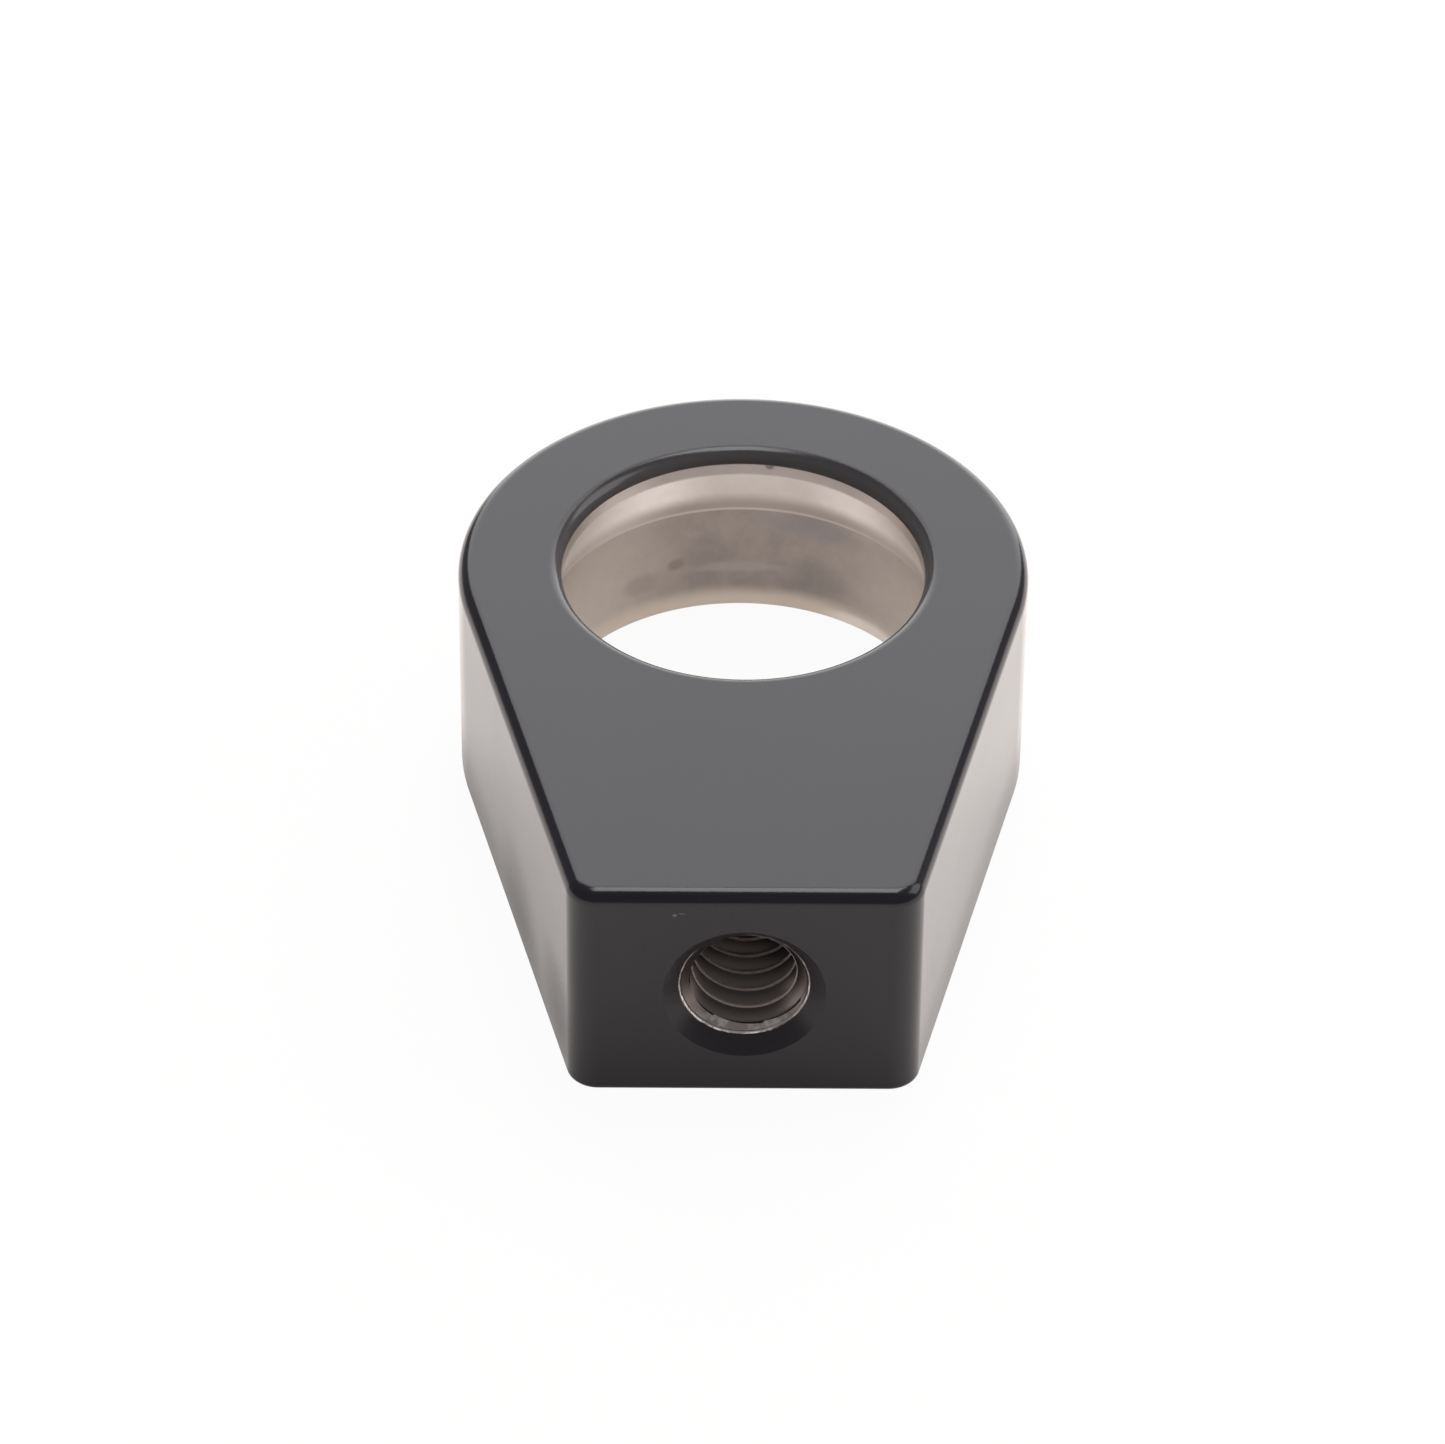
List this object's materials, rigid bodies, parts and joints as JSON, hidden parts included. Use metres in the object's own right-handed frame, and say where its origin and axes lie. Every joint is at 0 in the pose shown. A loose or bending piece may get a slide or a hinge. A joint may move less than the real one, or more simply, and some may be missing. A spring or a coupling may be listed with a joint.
{
  "type": "optical lens mount",
  "caption": "Round lens cell on a tapered foot: stepped through bore with a front lip, and a tapped hole in the foot for a post.",
  "frame": {"origin": "on the bore's axis, in the rear face that the mount lies on", "axes": "+Z along the bore's axis from the rear face to the front lip, -Y from the bore's axis to the flat foot with the tapped hole, X across the foot"},
  "size_m": [0.0296, 0.0417, 0.0127],
  "materials": {
    "black_anodised": "satin black anodised, with the bore and the thread cut bare afterwards"
  },
  "bodies": {
    "root": {"mount_body": "black_anodised"}
  },
  "joints": []
}
